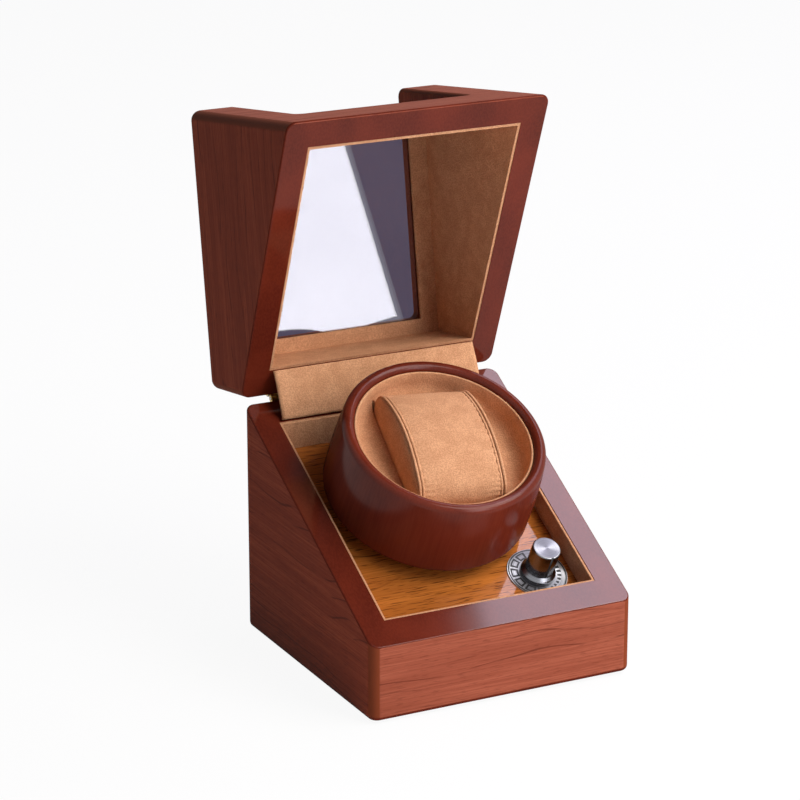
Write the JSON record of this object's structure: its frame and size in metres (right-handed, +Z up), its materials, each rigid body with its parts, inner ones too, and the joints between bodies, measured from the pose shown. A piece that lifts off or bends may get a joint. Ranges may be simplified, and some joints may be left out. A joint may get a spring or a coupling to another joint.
{
  "type": "watch winder box",
  "caption": "Wooden watch winder box with a sloping deck, a turned rotating barrel holding a velvet watch pillow, a mode knob and an open hinged lid with a bent window.",
  "frame": {"origin": "centre of the flat underside that the box stands on", "axes": "+X to the right seen from the front, +Y to the rear, +Z up"},
  "size_m": [0.128, 0.184, 0.2458],
  "materials": {
    "lacquered_wood": "gloss lacquer",
    "deck_wood": "gloss lacquer",
    "barrel_wood": "gloss lacquer",
    "plain_wood": "plain",
    "velvet": "short pile",
    "foam": "soft",
    "felt": "matte",
    "clear_acrylic": "clear polished",
    "steel": "plain",
    "brass": "satin",
    "aluminium": "spun",
    "black_plastic": "matte",
    "nylon": "plain",
    "circuit_board": "plain"
  },
  "bodies": {
    "base": {"base_left_wall": "lacquered_wood", "base_right_wall": "lacquered_wood", "base_front_wall": "lacquered_wood", "base_rear_wall": "lacquered_wood", "hinge_base_screws": "steel", "bottom_screws": "steel", "corner_blocks": "plain_wood", "bottom_panel": "plain_wood", "bottom_felt": "felt", "deck_panel": "deck_wood", "bracket_screws": "steel", "deck_cleats": "plain_wood", "recess_lining": "velvet", "spindle_bush": "brass", "thrust_washer": "nylon", "gearbox_housing": "steel", "motor_can": "steel", "motor_bracket": "steel", "motor_screws": "steel", "bracket_spacers": "steel", "scale_plate": "aluminium", "rotary_switch": "black_plastic", "switch_nut": "steel", "control_board": "circuit_board", "board_spacers": "nylon", "board_screws": "steel", "dc_jack": "black_plastic", "jack_nut": "steel", "hinge_pins": "steel", "hinge_base_leaves": "brass", "hinge_flap": "velvet"},
    "lid": {"lid_left_wall": "lacquered_wood", "lid_right_wall": "lacquered_wood", "lid_rear_wall": "lacquered_wood", "lid_front_rail": "lacquered_wood", "lid_top_rail": "lacquered_wood", "lid_left_stile": "lacquered_wood", "lid_right_stile": "lacquered_wood", "window_pane": "clear_acrylic", "lid_lining": "velvet", "lid_top_lining": "velvet", "hinge_lid_leaves": "brass", "hinge_lid_screws": "steel"},
    "barrel": {"barrel_shell": "barrel_wood", "barrel_floor": "plain_wood", "barrel_lining": "velvet", "barrel_cup": "velvet", "barrel_roll": "velvet", "spindle": "steel", "hub_screws": "steel", "drum_gear": "nylon", "retaining_ring": "steel"},
    "pinion": {"motor_pinion": "nylon", "gearbox_shaft": "steel"},
    "knob": {"knob_cap": "aluminium", "switch_shaft": "steel"},
    "pillow": {"pillow_core": "foam", "pillow_cover": "velvet", "pillow_left_end": "velvet", "pillow_right_end": "velvet"}
  },
  "joints": [
    {"name": "lid_hinge", "type": "hinge", "parent": "base", "child": "lid", "pos_m": [0, 0.0658, 0.107], "axis": [1, 0, 0], "range_deg": [0, 98.5], "deforming": ["hinge_flap"]},
    {"name": "barrel_spin", "type": "hinge", "parent": "base", "child": "barrel", "pos_m": [0, 0.00769, 0.07533], "axis": [0, -0.4903, 0.8716], "continuous": true},
    {"name": "pinion_spin", "type": "hinge", "parent": "base", "child": "pinion", "pos_m": [0.024, 0.00769, 0.07533], "axis": [0, -0.4903, 0.8716], "continuous": true},
    {"name": "knob_turn", "type": "hinge", "parent": "base", "child": "knob", "pos_m": [0.0345, -0.0364, 0.05053], "axis": [0, -0.4903, 0.8716], "range_deg": [-135, 135]},
    {"name": "pillow_lift", "type": "slide", "parent": "barrel", "child": "pillow", "axis": [0, -0.4903, 0.8716], "range_m": [0, 0.012]}
  ],
  "couplings": [
    {"joint": "pinion_spin", "follows": "barrel_spin", "ratio": -3}
  ]
}
